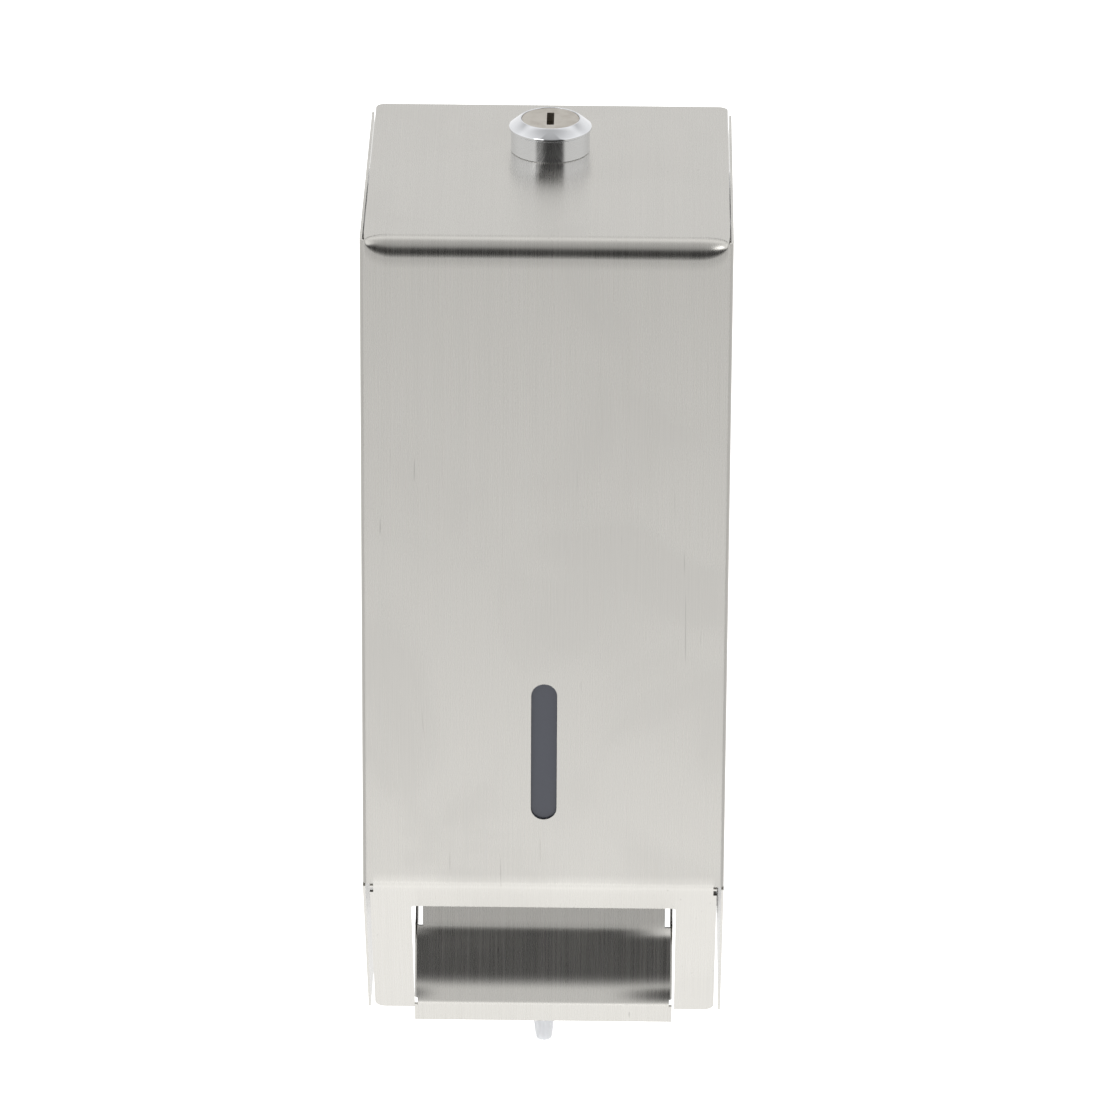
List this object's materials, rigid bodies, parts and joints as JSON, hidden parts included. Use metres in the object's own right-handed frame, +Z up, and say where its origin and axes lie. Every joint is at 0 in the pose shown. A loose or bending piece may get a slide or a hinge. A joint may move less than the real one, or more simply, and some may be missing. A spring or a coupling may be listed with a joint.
{
  "type": "wall mounted soap dispenser",
  "caption": "Lockable wall soap dispenser: folded brushed steel cover with sight slot, hinged at the bottom over a refillable tank, push lever and piston pump.",
  "frame": {"origin": "centre of the four wall screw holes, on the rear face of the back plate (the wall)", "axes": "+Z up, +Y into the wall, the front of the cover faces -Y, +X to the right seen from the front"},
  "size_m": [0.115, 0.118, 0.3048],
  "materials": {
    "brushed_steel": "brushed stainless steel, fine straight grain",
    "galvanised": "satin steel plate",
    "chrome": "bright chrome plating",
    "plug_nickel": "dull satin nickel",
    "zinc": "zinc plated steel",
    "smoked_acrylic": "smoked grey-blue acrylic",
    "white_plastic": "moulded white polypropylene",
    "tank_plastic": "translucent natural polyethylene",
    "grey_plastic": "moulded grey nylon",
    "clear_plastic": "frosted translucent plastic",
    "rubber": "black rubber",
    "spring_steel": "drawn spring wire"
  },
  "bodies": {
    "chassis": {"back_plate": "galvanised", "pump_bracket": "galvanised", "bracket_rivets": "zinc", "hinge_pins": "zinc", "hinge_spacers": "white_plastic", "tank": "tank_plastic", "tank_clip": "spring_steel", "tank_nut": "grey_plastic", "union_nut": "grey_plastic", "inlet_washer": "rubber", "pump_body": "white_plastic", "pump_gland": "grey_plastic", "pump_end_cap": "grey_plastic", "outlet_valve": "rubber", "nozzle": "clear_plastic", "plunger_spring": "spring_steel", "lever_pin": "zinc", "lever_pin_clips": "spring_steel"},
    "cover": {"front_cover": "brushed_steel", "sight_window": "smoked_acrylic", "window_rails": "zinc", "lock_housing": "chrome", "lock_washer": "zinc", "lock_nut": "zinc"},
    "lock": {"lock_plug": "plug_nickel", "lock_cam": "zinc", "cam_screw": "zinc"},
    "lever": {"push_lever": "brushed_steel", "lever_bushes": "white_plastic"},
    "plunger": {"plunger": "white_plastic", "piston_seal": "rubber"},
    "lid": {"tank_lid": "white_plastic", "lid_seal": "rubber"},
    "ball": {"inlet_ball": "spring_steel"}
  },
  "joints": [
    {"name": "cover_hinge", "type": "hinge", "parent": "chassis", "child": "cover", "pos_m": [0, -0.007, -0.1361], "axis": [1, 0, 0], "range_deg": [0, 90]},
    {"name": "lock_turn", "type": "hinge", "parent": "cover", "child": "lock", "pos_m": [0, -0.0392, 0.145], "axis": [0, 0, -1], "range_deg": [0, 90]},
    {"name": "lever_pivot", "type": "hinge", "parent": "chassis", "child": "lever", "pos_m": [0, -0.086, -0.086], "axis": [1, 0, 0], "range_deg": [0, 14], "stiffness_Nm_per_rad": 0.5, "springref_deg": -11.46},
    {"name": "plunger_slide", "type": "slide", "parent": "chassis", "child": "plunger", "axis": [0, 1, 0], "range_m": [0, 0.0045], "deforming": ["plunger_spring"]},
    {"name": "lid_lift", "type": "slide", "parent": "chassis", "child": "lid", "axis": [0, 0, 1], "range_m": [0, 0.012]},
    {"name": "ball_lift", "type": "slide", "parent": "chassis", "child": "ball", "axis": [0, 0, 1], "range_m": [0, 0.002]}
  ],
  "couplings": [
    {"joint": "plunger_slide", "follows": "lever_pivot", "m_per_rad": 0.0165}
  ]
}
